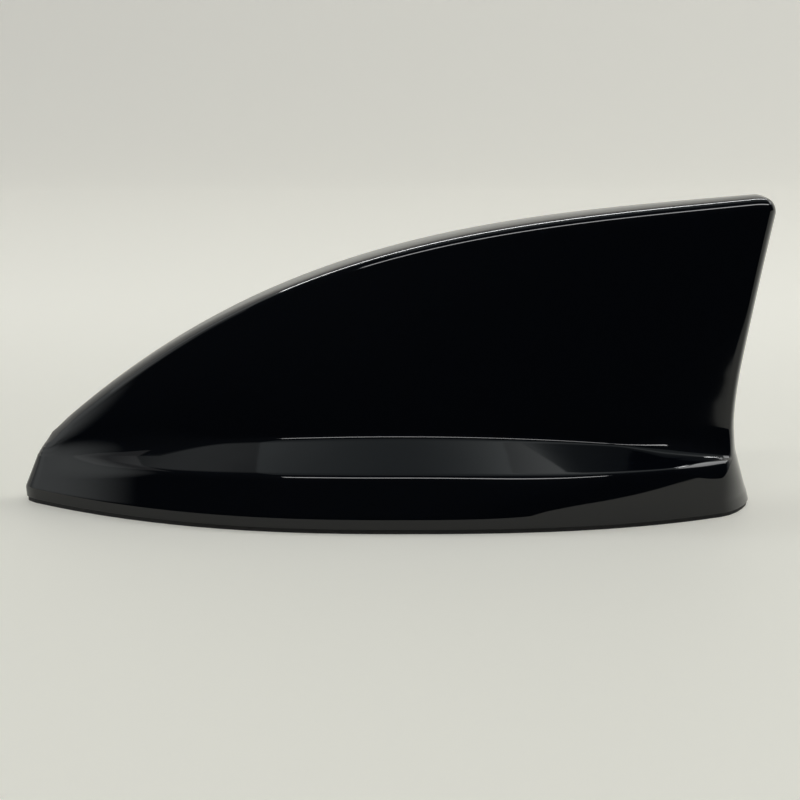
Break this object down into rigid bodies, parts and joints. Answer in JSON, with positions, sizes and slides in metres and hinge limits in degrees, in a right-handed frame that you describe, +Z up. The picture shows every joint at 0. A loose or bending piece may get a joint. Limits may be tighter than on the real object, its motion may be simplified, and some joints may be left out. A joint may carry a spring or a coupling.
{
  "type": "shark fin aerial",
  "caption": "Fin-shaped roof aerial: a gloss moulded shell with a shoulder crease on a flat bonded base, with its board and radiator inside.",
  "frame": {"origin": "middle of the footprint's box, on the surface that the underside rests on", "axes": "+X from the nose to the tail, +Z up from the roof, +Y to the fin's own right side as it points forward"},
  "size_m": [0.1684, 0.0628, 0.0694],
  "materials": {
    "gloss_black": "gloss black moulding, polished",
    "seal_rubber": "matt black rubber",
    "base_plastic": "matt black glass-filled plastic",
    "bond_foam": "dark foam tape",
    "screw_steel": "zinc plated",
    "board_laminate": "green solder resist",
    "tinned_sheet": "tinned sheet steel",
    "chip_black": "moulded epoxy",
    "ceramic_pale": "pale ceramic",
    "capacitor_brown": "brown ceramic",
    "socket_brass": "plated brass",
    "ceramic_tan": "fired ceramic",
    "silver_foil": "silver print, fired",
    "carrier_plastic": "natural moulded plastic",
    "copper_strip": "bright copper"
  },
  "bodies": {
    "root": {"shell": "gloss_black", "weather_seal": "seal_rubber", "base_plate": "base_plastic", "bond_pad_front": "bond_foam", "bond_pad_rear": "bond_foam", "cable_grommet": "seal_rubber", "base_screws": "screw_steel", "circuit_board": "board_laminate", "board_screws": "screw_steel", "shield_can": "tinned_sheet", "amplifier_chip": "chip_black", "filter_chips": "ceramic_pale", "capacitors": "capacitor_brown", "inductors": "chip_black", "cable_socket": "socket_brass", "socket_pin": "socket_brass", "patch_tape": "bond_foam", "patch_ceramic": "ceramic_tan", "patch_electrode": "silver_foil", "patch_pin": "tinned_sheet", "radiator_carrier": "carrier_plastic", "roof_plate": "tinned_sheet", "radiator_strip": "copper_strip", "contact_spring": "socket_brass", "coil_former": "carrier_plastic", "loading_coil": "copper_strip", "rattle_pad": "bond_foam"}
  },
  "joints": []
}
